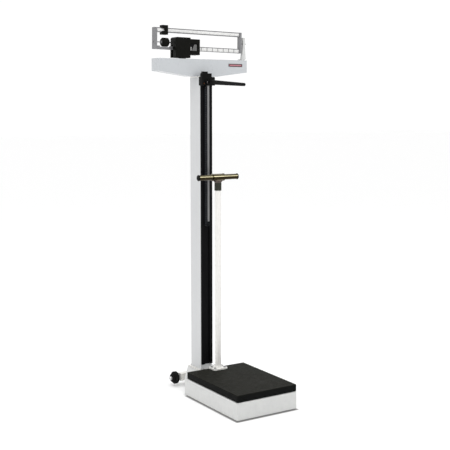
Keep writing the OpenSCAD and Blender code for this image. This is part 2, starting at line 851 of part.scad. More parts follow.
module head_block() {
    z1 = head_z0 + head_h;
    block_y1 = channel_y0 - 0.6;
    color("black") placed() difference() {
        union() {
            block([-head_half, head_half], [head_y0, block_y1], [head_z0, z1 - 14]);
            block([-head_half, 14.5], [head_y0, block_y1], [z1 - 15, z1]);
            mirrored() block([head_half - head_cheek, head_half],
                [block_y1 - 1, channel_y0 + head_wrap], [head_z0, z1 - 14]);
            block([-head_half + 3, -3], [head_y0 + 2, block_y1 - 2], [z1 - 1, z1 + 7]);
            for (sx = [-1, 1]) slab_yz(sx * (arm_t / 2 + slide_gap + ear_t / 2) - ear_t / 2, ear_t) {
                translate([arm_pin_y, arm_pin_z]) circle(d = arm_root_h);
                translate([arm_pin_y, arm_pin_z - arm_root_h / 2])
                    square([head_y0 - arm_pin_y + 1, arm_root_h]);
            }
        }
        translate([head_half, head_y0 - 1, z1 - 14]) rotate([0, -45, 0])
            cube([4, 2 * head_front_d, 8], center = true);
        inner_rod_bars(head_z0 - 1, z1 - 8);
        bar_x(-head_half, head_half, arm_pin_y, arm_pin_z, arm_pin_w);
    }
}

module arm_pin() {
    half = arm_t / 2 + slide_gap + ear_t;
    color("silver") placed() {
        bar_x(-half, half, arm_pin_y, arm_pin_z, arm_pin_w);
        for (sx = [-1, 1]) bar_x(sx * (half + 1) - 1, sx * (half + 1) + 1, arm_pin_y, arm_pin_z, 8);
    }
}

module head_arm() {
    color("black") placed() difference() {
        translate([0, arm_pin_y, arm_pin_z]) rotate([arm_droop, 0, 0])
            slab_yz(-arm_t / 2, arm_t) {
                polygon([[0, arm_root_h / 2], [6, arm_root_h / 3], [arm_root_h / 2, 3],
                    [arm_root_h / 2, -3], [6, -arm_root_h / 3], [0, -arm_root_h / 2],
                    [-arm_l + 4, -arm_tip_h / 2],
                    [-arm_l, -arm_tip_h / 2 + 4], [-arm_l, arm_tip_h / 2 - 4],
                    [-arm_l + 4, arm_tip_h / 2]]);
            }
        bar_x(-arm_t, arm_t, arm_pin_y, arm_pin_z, arm_pin_w + 2 * run_gap);
    }
}

// ---- beam box ----

module box_outline(inset) {
    half = box_w / 2 - inset;
    end_z = box_top - box_end_h + inset;
    mid_z = box_bottom + inset;
    polygon([[-half, box_top - inset], [half, box_top - inset], [half, end_z],
        [box_flat_w / 2, mid_z], [-box_flat_w / 2, mid_z], [-half, end_z]]);
}

module box_shell() {
    back = box_y1 - box_cover_t;
    color("gainsboro") placed() difference() {
        union() {
            difference() {
                slab_xz(box_y0, box_d - box_cover_t) box_outline(0);
                slab_xz(box_y0 + box_wall, box_d) box_outline(box_wall);
            }
            for (p = cover_screw_spots) bar_y(box_y0 + box_wall, back, p[0], p[1], 9);
        }
        block([fulcrum_x - neck_opening[0] / 2, fulcrum_x + neck_opening[0] / 2],
            [beam_y - neck_opening[1] / 2, beam_y + neck_opening[1] / 2],
            [box_top - box_wall - 1, box_top + 1]);
        bar_z(box_bottom - 1, box_bottom + box_wall + 1, 0, beam_y, rod_hole_w);
        for (p = shelf_bolt_spots)
            bar_z(box_bottom - 1, box_bottom + box_wall + 1, p[0], p[1],
                shelf_bolt_w + 2 * screw_gap);
        for (p = cover_screw_spots) bar_y(back - 12, back + 1, p[0], p[1], cover_screw_w);
        for (p = trig_screw_spots)
            bar_z(box_top - box_wall - 1, box_top + 1, p[0], p[1], cover_screw_w);
    }
}

module box_back_cover() {
    color("gainsboro") placed() difference() {
        slab_xz(box_y1 - box_cover_t, box_cover_t) box_outline(0);
        for (p = cover_screw_spots)
            bar_y(box_y1 - box_cover_t - 1, box_y1 + 1, p[0], p[1],
                cover_screw_w + 2 * screw_gap);
    }
}

module box_screws() {
    trig_top = box_top + trig_foot_t;
    color("silver") placed() {
        for (p = cover_screw_spots) {
            bar_y(box_y1 - box_cover_t - 10, box_y1, p[0], p[1], cover_screw_w);
            bar_y(box_y1, box_y1 + 2, p[0], p[1], 6.5);
        }
        for (p = trig_screw_spots) {
            bar_z(box_top - 4, trig_top, p[0], p[1], cover_screw_w);
            bar_z(trig_top, trig_top + 2, p[0], p[1], 6.5);
        }
    }
}

module box_shelf() {
    color("lightsteelblue") placed() difference() {
        union() {
            block([load_x - 26, transfer_fulcrum_x + 26], [beam_y - shelf_half_d,
                beam_y + shelf_half_d], [shelf_z0, shelf_top]);
            for (p = shelf_bolt_spots)
                bar_z(box_bottom + box_wall, shelf_z0, p[0], p[1], shelf_leg_w);
        }
        bar_z(shelf_z0 - 1, shelf_top + 1, 0, beam_y, rod_hole_w);
        for (p = shelf_bolt_spots)
            bar_z(box_bottom, shelf_top + 1, p[0], p[1], shelf_bolt_w + 2 * screw_gap);
    }
}

module shelf_bolts() {
    color("silver") placed() for (p = shelf_bolt_spots) {
        bar_z(column_top - 6, shelf_top, p[0], p[1], shelf_bolt_w);
        hex_z(shelf_top, shelf_top + 4, p[0], p[1], 10);
    }
}

// A stand with two cheeks, each with a vee for the ends of a pivot
module stand(x, w, edge_z) {
    color("slategray") placed() difference() {
        union() {
            block([x - w / 2, x + w / 2], [beam_y - stand_gap / 2 - stand_cheek,
                beam_y + stand_gap / 2 + stand_cheek], [shelf_top, shelf_top + 2.5]);
            for (sy = [-1, 1]) translate([0, beam_y + sy * (stand_gap + stand_cheek) / 2, 0])
                block([x - w / 2, x + w / 2], [-stand_cheek / 2, stand_cheek / 2],
                    [shelf_top, edge_z + vee_h + 1]);
        }
        slab_xz(beam_y - stand_gap, 2 * stand_gap)
            translate([x, 0]) vee(edge_z - edge_gap, vee_h + 2, false);
    }
}

module beam_stands() {
    stand(fulcrum_x, 20, fulcrum_z);
    stand(transfer_fulcrum_x, 16, transfer_low);
}

module transfer_knives() {
    end_y = transfer_plate_y + transfer_plate_t;
    reach = stand_gap / 2 + stand_cheek - 0.5;
    color("silver") placed() {
        knife_y(beam_y - end_y, beam_y + end_y, load_x, transfer_low, false);
        knife_y(beam_y - end_y, beam_y + end_y, 0, transfer_high, true);
        knife_y(beam_y - reach, beam_y + reach, transfer_fulcrum_x, transfer_low, false);
    }
}

module transfer_lever() {
    color("slategray") difference() {
        placed() for (sy = [-1, 1])
            translate([0, beam_y + sy * (transfer_plate_y + transfer_plate_t / 2), 0])
                block([load_x - 7, transfer_fulcrum_x + 8],
                    [-transfer_plate_t / 2, transfer_plate_t / 2],
                    [transfer_z0, transfer_z0 + transfer_h]);
        transfer_knives();
    }
}

// Two loops that hang the transfer lever from the beam's load pivot
module beam_link() {
    low_z = transfer_low - edge_gap + eye_r;
    high_z = load_edge_z + edge_gap - eye_r;
    color("silver") placed() for (sy = [-1, 1])
        slab_xz(beam_y + sy * 7 - 1.75, 3.5) translate([load_x, 0]) difference() {
            stadium(low_z, high_z, eye_r + 2.6);
            stadium(low_z, high_z, eye_r);
        }
}

module trig_loop() {
    window_z0 = tip_z - tip_h / 2 - tip_drop - slide_gap;
    window_z1 = tip_z + tip_h / 2 + tip_drop + slide_gap;
    foot_top = box_top + trig_foot_t;
    color("whitesmoke") placed() difference() {
        union() {
            slab_xz(beam_y - 6, 12) polygon([[trig_x0 - 7.5, box_top], [box_w / 2, box_top],
                [trig_x0 + trig_w + 3, foot_top + 4], [trig_x0 + trig_w, foot_top + 50],
                [trig_x0 + trig_w, tip_z + 21], [trig_x0 + 1, tip_z + 21],
                [trig_x0, foot_top + 50]]);
            block([box_w / 2 - 23, box_w / 2], [beam_y - 11, beam_y + 11], [box_top, foot_top]);
        }
        block([trig_x0 - 20, trig_x0 + trig_w + 10], [beam_y - 3.6, beam_y + 3.6],
            [window_z0, window_z1]);
        for (p = trig_screw_spots)
            bar_z(box_top - 1, foot_top + 1, p[0], p[1], cover_screw_w + 2 * screw_gap);
    }
}

module nameplate() {
    color("firebrick") placed()
        block([118, 185], [box_y0 - 0.8, box_y0], [box_top - 27.5, box_top - 15.5]);
}

// ---- beam ----

module beam_knives() {
    reach = stand_gap / 2 + stand_cheek - 0.5;
    color("silver") beam_at_rest() {
        knife_y(beam_y - reach, beam_y + reach, fulcrum_x, fulcrum_z, false);
        knife_y(beam_y - 9.2, beam_y + 9.2, load_x, fulcrum_z, true);
    }
}

module beam_frame() {
    bar_y0 = beam_y - beam_t / 2;
    step_x = main_x0 + 6;
    color("darkgray") difference() {
        beam_at_rest() difference() {
            union() {
                block([beam_left, beam_right], [bar_y0, bar_y0 + beam_t], [upper_z0, beam_z1]);
                block([beam_left, step_x], [bar_y0, bar_y0 + beam_t], [beam_z0,
                    beam_z0 + left_bar_h]);
                block([step_x - 1, beam_right], [bar_y0, bar_y0 + beam_t], [beam_z0,
                    lower_z1]);
                block([beam_left, beam_left + left_upright_w], [beam_y - left_upright_d / 2,
                    beam_y + left_upright_d / 2], [beam_z0, beam_z1]);
                block([beam_right - right_upright_w, beam_right],
                    [beam_y - right_upright_d / 2, beam_y + right_upright_d / 2],
                    [beam_z0, beam_z1]);
                block([neck_x0, neck_x0 + neck_w], [beam_y - neck_t / 2, beam_y + neck_t / 2],
                    [butt_z0, beam_z0 + 1]);
                block([load_x - 8, neck_x0 + 1], [beam_y - neck_t / 2, beam_y + neck_t / 2],
                    [butt_z0, butt_z0 + butt_h]);
            }
            for (i = [0 : notch_count]) slab_xz(bar_y0 - 1, beam_t + 2)
                translate([fulcrum_x + 4 + i * notch_pitch, 0]) vee(lower_z1 - 1.6, 2.6, false);
            bar_x(beam_left - 1, beam_left + left_upright_w + 1, beam_y, ball_z, screw_w);
            block([ball_x - recess_half, ball_x + recess_half], [bar_y0 - 1, bar_y0 + beam_t + 1],
                [recess_z, recess_z + ball_recess + 1]);
        }
        beam_knives();
    }
}

module scale_strips() {
    y0 = beam_y - beam_t / 2 - strip_t;
    color("white") beam_at_rest() {
        block([beam_left + left_upright_w + 1, beam_right - right_upright_w - 1], [y0, y0 + strip_t],
            [upper_z0 + 1.8, beam_z1 - 1.8]);
        block([main_x0 + main_w, beam_right - right_upright_w - 1], [y0, y0 + strip_t],
            [beam_z0 + 1.8, lower_z1 - 2.6]);
    }
}

module beam_tip() {
    color("dimgray") beam_at_rest() {
        block([beam_right, tip_end], [beam_y - 2.5, beam_y + 2.5], [tip_z - tip_h / 2,
            tip_z + tip_h / 2]);
        block([beam_right, beam_right + 2], [beam_y - 6, beam_y + 6], [tip_z - 7, tip_z + 7]);
    }
}

module balance_screw() {
    inner = beam_left + left_upright_w;
    color("silver") beam_at_rest() {
        bar_x(beam_left - 3, main_x0 - 6, beam_y, ball_z, screw_w);
        difference() {
            translate([inner, beam_y, ball_z]) rotate([0, 90, 0])
                cylinder(h = 3.5, d = 2 * screw_w, $fn = 6);
            bar_x(inner - 1, inner + 5, beam_y, ball_z, screw_w);
        }
    }
}

module balance_bush() {
    color("goldenrod") beam_at_rest() difference() {
        union() {
            bar_x(ball_x - ball_l / 2, ball_x + ball_l / 2, beam_y, ball_z, bush_w);
            bar_x(ball_x + ball_l / 2 + slide_gap, ball_x + ball_l / 2 + 1.8, beam_y, ball_z,
                bush_w + 3);
            bar_x(ball_x + ball_l / 2 - 0.1, ball_x + ball_l / 2 + 0.4, beam_y, ball_z, bush_w);
        }
        bar_x(ball_x - ball_l, ball_x + ball_l, beam_y, ball_z, screw_w + 2 * run_gap);
    }
}

module balance_ball() {
    r = ball_w / 2;
    edge = 4;
    color("black") beam_at_rest() translate([ball_x, beam_y, ball_z]) rotate([0, 90, 0])
        rotate_extrude() polygon([[bush_w / 2 + run_gap, -ball_l / 2], [r - edge, -ball_l / 2],
            [r, -ball_l / 2 + edge], [r, ball_l / 2 - edge], [r - edge, ball_l / 2],
            [bush_w / 2 + run_gap, ball_l / 2]]);
}

module main_poise() {
    x1 = main_x0 + main_w;
    dial_x1 = x1 + dial_w;
    z1 = main_z0 + main_h;
    dial_z1 = dial_z0 + dial_h;
    color("black") beam_at_rest() difference() {
        union() {
            slab_xz(main_y0, main_y1 - main_y0) polygon([[main_x0, main_z0], [x1, main_z0],
                [x1, z1], [main_x0 + 5, z1], [main_x0, z1 - 5]]);
            block([x1 - 1, dial_x1], [dial_y0, main_y1 - 2], [dial_z0, dial_z1]);
        }
        block([main_x0 - 1, dial_x1 + 1], [slot_y0, slot_y1], [main_z0 - 1,
            lower_z1 + slide_gap + 0.2]);
        block([main_x0 + poise_wall, x1 - poise_wall], [main_y0 + poise_wall,
            slot_y0 - poise_wall], [main_z0 - 1, z1 - poise_wall]);
        block([x1 + poise_wall, dial_x1 - poise_wall], [dial_y0 + poise_wall, slot_y0 + 1],
            [dial_z0 + poise_wall, dial_z1 - poise_wall]);
        block([x1 + 2, x1 + 36], [dial_y0 - 1, dial_y0 + poise_wall + 1],
            [dial_z0 + 15, dial_z0 + 44]);
    }
}

module poise_window() {
    x0 = main_x0 + main_w + poise_wall;
    color("lightgray") beam_at_rest()
        block([x0, x0 + dial_w - 2 * poise_wall], [dial_y0 + poise_wall, dial_y0 + poise_wall + 1.5],
            [dial_z0 + poise_wall, dial_z0 + dial_h - poise_wall]);
}

module small_poise() {
    color("black") beam_at_rest() difference() {
        block([small_x0, small_x0 + small_w], [beam_y - small_d / 2, beam_y + small_d / 2],
            [small_z0, small_z0 + small_h]);
        block([small_x0 - 1, small_x0 + small_w + 1], [slot_y0, slot_y1],
            [upper_z0 - slide_gap, beam_z1 + slide_gap]);
        block([small_x0 - 1, small_x0 + small_notch], [beam_y - small_d, slot_y0 + 1],
            [upper_z0 + 4.5, upper_z0 + 14.5]);
    }
}

// ---- wheels ----

module wheel_brackets() {
    z = wheel_z;
    x1 = wheel_track / 2 - wheel_t / 2 - 11;
    color("lightgray") placed() mirrored() difference() {
        block([rear_w / 2 + 4, x1], [axle_y - 13, axle_y + 13], [z - 15.5, z + 15.5]);
        translate([0, 0, foot_h]) linear_extrude(base_top) base_plan(0);
        block([0, x1 - base_wall], [axle_y - 13 + base_wall, axle_y + 13 - base_wall],
            [z - 20, z + 15.5 - base_wall]);
        bar_x(0, x1 + 1, axle_y, z, axle_w);
    }
}

module wheel_axle() {
    z = wheel_z;
    x1 = wheel_track / 2 - wheel_t / 2 - 11;
    color("silver") placed() {
        bar_x(-axle_end, axle_end, axle_y, z, axle_w);
        mirrored() bar_x(x1, x1 + 11 - slide_gap, axle_y, z, axle_w + 8);
    }
}

module axle_nuts() {
    color("silver") placed() mirrored() difference() {
        translate([nut_x0, axle_y, wheel_z]) rotate([0, 90, 0]) union() {
            cylinder(h = 4, d = axle_w + 7, $fn = 6);
            translate([0, 0, 4]) cylinder(h = 1, d = axle_w + 5);
            translate([0, 0, 5]) sphere(d = axle_w + 4);
        }
        bar_x(nut_x0 - axle_w, axle_end, axle_y, wheel_z, axle_w);
    }
}

module wheel(side) {
    r = wheel_w / 2;
    h = wheel_t / 2;
    hub = axle_w / 2 + run_gap;
    outer = h + hub_out;
    color("black") placed()
        translate([side * wheel_track / 2, axle_y, wheel_z]) rotate([0, side * 90, 0])
            rotate_extrude() difference() {
                polygon([[hub, -h], [hub + 6, -h], [r - 9, -h + 2], [r - 3, -h + 1],
                    [r, -h + 4], [r, h - 4], [r - 3, h - 1], [r - 8, h - 2],
                    [r - 9, outer - 1], [r - 10, outer], [hub, outer]]);
                translate([r - 13, -h + 1]) circle(d = 3);
                translate([r - 13.5, outer]) circle(d = 2.4);
            }
}

module wheel_left() { wheel(-1); }

module wheel_right() { wheel(1); }

base_pan();
rubber_feet();
foot_screws();
lever_stands();
lever_bearings();
column_tube();
column_flanges();
column_bolts();
guide_channel();
channel_screws();
box_shell();
box_back_cover();
box_screws();
box_shelf();
shelf_bolts();
beam_stands();
trig_loop();
nameplate();
wheel_brackets();
wheel_axle();
axle_nuts();
wheel_left();
wheel_right();
platform_plate();
platform_mat();
platform_bearings();
post_flange();
post_screws();
post_tube();
post_collar();
tee_fitting();
crossbar();
bar_caps();
long_lever();
long_lever_knives();
lever_saddle();
short_lever();
short_lever_knives();
draw_rod();
transfer_lever();
transfer_knives();
beam_link();
beam_frame();
scale_strips();
beam_knives();
beam_tip();
balance_screw();
balance_bush();
balance_ball();
main_poise();
poise_window();
small_poise();
outer_rod();
rod_button();
inner_rod();
head_block();
arm_pin();
head_arm();
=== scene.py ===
import math

import bmesh
import bpy
from mathutils import Matrix, Vector


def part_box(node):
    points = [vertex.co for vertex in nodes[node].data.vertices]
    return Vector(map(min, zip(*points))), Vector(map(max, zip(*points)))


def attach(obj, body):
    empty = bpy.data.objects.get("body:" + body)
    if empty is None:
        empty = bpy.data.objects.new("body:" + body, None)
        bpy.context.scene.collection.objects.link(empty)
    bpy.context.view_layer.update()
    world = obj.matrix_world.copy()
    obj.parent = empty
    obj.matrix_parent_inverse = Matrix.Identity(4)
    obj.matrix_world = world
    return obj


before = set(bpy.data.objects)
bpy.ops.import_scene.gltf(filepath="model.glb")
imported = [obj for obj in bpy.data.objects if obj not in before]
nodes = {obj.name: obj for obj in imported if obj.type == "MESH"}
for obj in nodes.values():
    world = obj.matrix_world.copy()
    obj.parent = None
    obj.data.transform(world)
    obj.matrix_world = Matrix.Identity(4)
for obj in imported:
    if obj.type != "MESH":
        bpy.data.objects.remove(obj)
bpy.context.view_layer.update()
MM = 0.001
TILT = math.radians(0.85)  # the resting beam, right end down
FULCRUM_X = -0.084
FULCRUM_Z = 1.330


# ---- shader node groups ----

def new_group(name, inputs, outputs):
    """A shader node group with named sockets; returns it with its two end nodes."""
    group = bpy.data.node_groups.new(name, "ShaderNodeTree")
    for label, kind, value in inputs:
        socket = group.interface.new_socket(label, in_out="INPUT", socket_type=kind)
        socket.default_value = value
    for label, kind in outputs:
        group.interface.new_socket(label, in_out="OUTPUT", socket_type=kind)
    return group, group.nodes.new("NodeGroupInput"), group.nodes.new("NodeGroupOutput")


def math_node(tree, operation, a, b=None, clamp=False):
    """A Math node; each of a and b is a number or an output socket."""
    node = tree.nodes.new("ShaderNodeMath")
    node.operation = operation
    node.use_clamp = clamp
    for index, value in enumerate((a, b)):
        if value is None:
            continue
        if isinstance(value, (int, float)):
            node.inputs[index].default_value = value
        else:
            tree.links.new(value, node.inputs[index])
    return node.outputs[0]


def mix_colour(tree, factor, a, b):
    """A colour mix; factor, a and b are values or output sockets."""
    node = tree.nodes.new("ShaderNodeMix")
    node.data_type = "RGBA"
    for socket, value in ((node.inputs[0], factor), (node.inputs[6], a), (node.inputs[7], b)):
        if hasattr(value, "links"):
            tree.links.new(value, socket)
        else:
            socket.default_value = value
    return node.outputs[2]


def noise(tree, vector, scale, detail=3.0, roughness=0.55):
    node = tree.nodes.new("ShaderNodeTexNoise")
    node.inputs["Detail"].default_value = detail
    node.inputs["Roughness"].default_value = roughness
    tree.links.new(vector, node.inputs["Vector"])
    if hasattr(scale, "links"):
        tree.links.new(scale, node.inputs["Scale"])
    else:
        node.inputs["Scale"].default_value = scale
    return node.outputs[0]


def build_finish_group():
    """Paint, metal or rubber: uneven tone, faint handling marks and a fine grain."""
    group, given, out = new_group("finish", [
        ("Colour", "NodeSocketColor", (0.8, 0.8, 0.8, 1)),
        ("Second Colour", "NodeSocketColor", (0.7, 0.7, 0.7, 1)),
        ("Roughness", "NodeSocketFloat", 0.4),
        ("Blotch Scale", "NodeSocketFloat", 12.0),
        ("Blotch", "NodeSocketFloat", 0.3),
        ("Grain Scale", "NodeSocketFloat", 900.0),
        ("Grain", "NodeSocketFloat", 0.5),
        ("Stretch", "NodeSocketVector", (1.0, 1.0, 1.0)),
    ], [
        ("Colour", "NodeSocketColor"),
        ("Roughness", "NodeSocketFloat"),
        ("Height", "NodeSocketFloat"),
    ])
    where = group.nodes.new("ShaderNodeTexCoord").outputs["Object"]
    stretched = group.nodes.new("ShaderNodeVectorMath")
    stretched.operation = "MULTIPLY"
    group.links.new(where, stretched.inputs[0])
    group.links.new(given.outputs["Stretch"], stretched.inputs[1])
    blotch = noise(group, where, given.outputs["Blotch Scale"], 4.0, 0.6)
    grain = noise(group, stretched.outputs[0], given.outputs["Grain Scale"], 2.0, 0.5)
    marks = noise(group, stretched.outputs[0], 65.0, 5.0, 0.7)
    tone = math_node(group, "SUBTRACT", blotch, 0.38, clamp=True)
    tone = math_node(group, "MULTIPLY", tone, 2.4, clamp=True)
    tone = math_node(group, "MULTIPLY", tone, given.outputs["Blotch"], clamp=True)
    colour = mix_colour(group, tone, given.outputs["Colour"], given.outputs["Second Colour"])
    speck = math_node(group, "SUBTRACT", grain, 0.5)
    rough = math_node(group, "MULTIPLY", math_node(group, "SUBTRACT", marks, 0.45), 0.35)
    rough = math_node(group, "ADD", rough, given.outputs["Roughness"])
    rough = math_node(group, "ADD", rough, math_node(group, "MULTIPLY", speck, 0.12), clamp=True)
    height = math_node(group, "MULTIPLY", grain, given.outputs["Grain"])
    group.links.new(colour, out.inputs["Colour"])
    group.links.new(rough, out.inputs["Roughness"])
    group.links.new(height, out.inputs["Height"])
    return group


def build_marks_group():
    """A mask of graduation lines: every so often a longer one."""
    group, given, out = new_group("graduation", [
        ("Along", "NodeSocketFloat", 0.0),
        ("Across", "NodeSocketFloat", 0.0),
        ("Pitch", "NodeSocketFloat", 0.005),
        ("Long Every", "NodeSocketFloat", 5.0),
        ("Line Width", "NodeSocketFloat", 0.0008),
        ("Short Line", "NodeSocketFloat", 0.004),
        ("Long Line", "NodeSocketFloat", 0.008),
    ], [("Mask", "NodeSocketFloat")])
    step = math_node(group, "DIVIDE", given.outputs["Along"], given.outputs["Pitch"])
    nearest = math_node(group, "ROUND", step)
    off = math_node(group, "ABSOLUTE", math_node(group, "SUBTRACT", step, nearest))
    off = math_node(group, "MULTIPLY", off, given.outputs["Pitch"])
    half_line = math_node(group, "MULTIPLY", given.outputs["Line Width"], 0.5)
    line = math_node(group, "LESS_THAN", off, half_line)
    turn = math_node(group, "DIVIDE", nearest, given.outputs["Long Every"])
    rest = math_node(group, "ABSOLUTE", math_node(group, "SUBTRACT", turn,
                                                  math_node(group, "ROUND", turn)))
    is_long = math_node(group, "LESS_THAN", rest, 0.05)
    extra = math_node(group, "SUBTRACT", given.outputs["Long Line"], given.outputs["Short Line"])
    length = math_node(group, "ADD", given.outputs["Short Line"],
                       math_node(group, "MULTIPLY", extra, is_long))
    inside = math_node(group, "LESS_THAN", given.outputs["Across"], length)
    above = math_node(group, "GREATER_THAN", given.outputs["Across"], 0.0)
    mask = math_node(group, "MULTIPLY", line, math_node(group, "MULTIPLY", inside, above))
    group.links.new(mask, out.inputs["Mask"])
    return group


FINISH = build_finish_group()
MARKS = build_marks_group()


# ---- materials ----

def new_material(name):
    material = bpy.data.materials.new(name)
    material.use_nodes = True
    return material, material.node_tree, material.node_tree.nodes["Principled BSDF"]


def finish_material(name, colour, second, roughness, metallic=0.0, blotch=(12.0, 0.3),
                    grain=(900.0, 0.5), bump=0.05, stretch=(1.0, 1.0, 1.0), coat=0.0,
                    specular=0.5):
    """A principled material fed by the finish group; returns it with its group node."""
    material, tree, shader = new_material(name)
    group = tree.nodes.new("ShaderNodeGroup")
    group.node_tree = FINISH
    group.inputs["Colour"].default_value = (*colour, 1)
    group.inputs["Second Colour"].default_value = (*second, 1)
    group.inputs["Roughness"].default_value = roughness
    group.inputs["Blotch Scale"].default_value = blotch[0]
    group.inputs["Blotch"].default_value = blotch[1]
    group.inputs["Grain Scale"].default_value = grain[0]
    group.inputs["Grain"].default_value = grain[1]
    group.inputs["Stretch"].default_value = stretch
    relief = tree.nodes.new("ShaderNodeBump")
    relief.inputs["Strength"].default_value = 1.0
    relief.inputs["Distance"].default_value = bump * MM
    tree.links.new(group.outputs["Colour"], shader.inputs["Base Color"])
    tree.links.new(group.outputs["Roughness"], shader.inputs["Roughness"])
    tree.links.new(group.outputs["Height"], relief.inputs["Height"])
    tree.links.new(relief.outputs["Normal"], shader.inputs["Normal"])
    shader.inputs["Metallic"].default_value = metallic
    shader.inputs["Coat Weight"].default_value = coat
    shader.inputs["Coat Roughness"].default_value = 0.15
    shader.inputs["Specular IOR Level"].default_value = specular
    return material, group


def axis_value(tree, weights, offset):
    """The object coordinates weighed along one direction, plus an offset in metres."""
    where = tree.nodes.new("ShaderNodeTexCoord").outputs["Object"]
    dot = tree.nodes.new("ShaderNodeVectorMath")
    dot.operation = "DOT_PRODUCT"
    dot.inputs[1].default_value = weights
    tree.links.new(where, dot.inputs[0])
    return math_node(tree, "ADD", dot.outputs["Value"], offset)


def add_marks(material, mark_colour, along, across, pitch, every, width, short, long):
    """Printed graduation lines over a finish material."""
    tree = material.node_tree
    shader = tree.nodes["Principled BSDF"]
    marks = tree.nodes.new("ShaderNodeGroup")
    marks.node_tree = MARKS
    tree.links.new(along, marks.inputs["Along"])
    tree.links.new(across, marks.inputs["Across"])
    marks.inputs["Pitch"].default_value = pitch
    marks.inputs["Long Every"].default_value = every
    marks.inputs["Line Width"].default_value = width
    marks.inputs["Short Line"].default_value = short
    marks.inputs["Long Line"].default_value = long
    below = shader.inputs["Base Color"].links[0].from_socket
    colour = mix_colour(tree, marks.outputs["Mask"], below, (*mark_colour, 1))
    tree.links.new(colour, shader.inputs["Base Color"])


# One white paint in several base tones, each set for how its part reads under this scene's lights:
# painted light and shade that differ from part to part
WHITE = (0.592, 0.599, 0.606)
enamel, _ = finish_material(
    "column enamel", WHITE, (0.552, 0.559, 0.570), 0.32, blotch=(7.0, 0.35),
    grain=(700.0, 0.5), bump=0.04, coat=0.25)
casting, _ = finish_material(
    "base enamel over casting", (0.61, 0.615, 0.605), (0.51, 0.515, 0.51), 0.42,
    blotch=(60.0, 0.45), grain=(380.0, 1.0), bump=0.16, coat=0.2)
box_enamel, _ = finish_material(
    "box enamel", (0.505, 0.525, 0.545), (0.455, 0.475, 0.495), 0.3, blotch=(9.0, 0.35),
    grain=(600.0, 0.5), bump=0.05, coat=0.3)
foot_enamel, _ = finish_material(
    "foot enamel", (0.80, 0.785, 0.75), (0.70, 0.685, 0.65), 0.36, blotch=(40.0, 0.4),
    grain=(500.0, 0.8), bump=0.06, coat=0.25)
post_enamel, _ = finish_material(
    "handpost enamel", (0.84, 0.83, 0.80), (0.78, 0.77, 0.74), 0.28, blotch=(14.0, 0.3),
    grain=(800.0, 0.4), bump=0.03, coat=0.35)
# The blacks have less gloss than real paint and rubber, to stay deep in a white room
channel_black, _ = finish_material(
    "channel black", (0.004, 0.004, 0.0045), (0.007, 0.007, 0.008), 0.42, blotch=(18.0, 0.5),
    grain=(800.0, 0.5), bump=0.05, stretch=(1.0, 1.0, 0.1), specular=0.05)
poise_black, _ = finish_material(
    "poise black over casting", (0.0045, 0.0045, 0.0035), (0.009, 0.009, 0.0075), 0.38,
    blotch=(45.0, 0.5), grain=(420.0, 1.0), bump=0.12, specular=0.05)
head_black, _ = finish_material(
    "moulded black", (0.006, 0.006, 0.006), (0.011, 0.011, 0.011), 0.44, blotch=(40.0, 0.4),
    grain=(900.0, 0.8), bump=0.07, specular=0.05)
rubber_black, _ = finish_material(
    "black rubber", (0.009, 0.009, 0.009), (0.017, 0.017, 0.017), 0.68, blotch=(55.0, 0.5),
    grain=(700.0, 1.0), bump=0.12, specular=0.05)
platform_dark, _ = finish_material(
    "platform steel", (0.03, 0.03, 0.03), (0.05, 0.05, 0.05), 0.5)
lever_grey, _ = finish_material(
    "lever iron", (0.09, 0.09, 0.10), (0.15, 0.13, 0.12), 0.6, metallic=0.4,
    blotch=(30.0, 0.7), grain=(300.0, 1.0), bump=0.2)
steel, _ = finish_material(
    "machined steel", (0.36, 0.36, 0.37), (0.26, 0.255, 0.25), 0.28, metallic=1.0,
    blotch=(60.0, 0.5), grain=(500.0, 0.6), bump=0.02, stretch=(1.0, 1.0, 0.08))
bright_steel, _ = finish_material(
    "bright nut", (0.72, 0.72, 0.73), (0.55, 0.55, 0.56), 0.3, metallic=0.8,
    blotch=(90.0, 0.5), grain=(600.0, 0.5), bump=0.02)
chrome, chrome_group = finish_material(
    "chrome plate", (0.34, 0.29, 0.215), (0.20, 0.16, 0.115), 0.16, metallic=1.0,
    blotch=(25.0, 0.5), grain=(700.0, 0.3), bump=0.008, stretch=(0.1, 1.0, 1.0))

# Fixed bands of tone up the bar's height stand in for what polished plating reflects. They are
# painted in the base colour, so they look the same from every side and in any light.
BAND_SPAN = 47  # mm that the bands cover
BAND_START = 31  # mm of them that lie under the bar's middle
BAND_MIX = 0.96
chrome_tree = chrome.node_tree
bar_low, bar_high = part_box("crossbar")
bar_middle = (bar_low.z + bar_high.z) / 2
from_bar = math_node(chrome_tree, "ADD", math_node(
    chrome_tree, "DIVIDE", axis_value(chrome_tree, (0, 0, 1), -bar_middle), BAND_SPAN * MM),
                     BAND_START / BAND_SPAN)
bands = chrome_tree.nodes.new("ShaderNodeValToRGB")
bands.color_ramp.elements[0].color = (0.12, 0.105, 0.095, 1)
bands.color_ramp.elements[1].color = (0.42, 0.43, 0.38, 1)
for rise_mm, tone in (
        (-13.5, (0.10, 0.08, 0.075)), (-10.8, (0.20, 0.175, 0.13)), (-8, (0.02, 0.014, 0.004)),
        (-0.5, (0.010, 0.007, 0.001)), (2.4, (0.10, 0.08, 0.03)), (4.2, (0.60, 0.56, 0.38)),
        (6.0, (0.18, 0.16, 0.08)), (9, (0.07, 0.06, 0.028)), (11.2, (0.15, 0.125, 0.085))):
    place = (rise_mm + BAND_START) / BAND_SPAN
    bands.color_ramp.elements.new(place).color = (*tone, 1)
chrome_tree.links.new(from_bar, bands.inputs[0])
chrome_shader = chrome_tree.nodes["Principled BSDF"]
chrome_tree.links.new(mix_colour(chrome_tree, BAND_MIX, chrome_group.outputs["Colour"],
                                 bands.outputs["Color"]), chrome_shader.inputs["Base Color"])
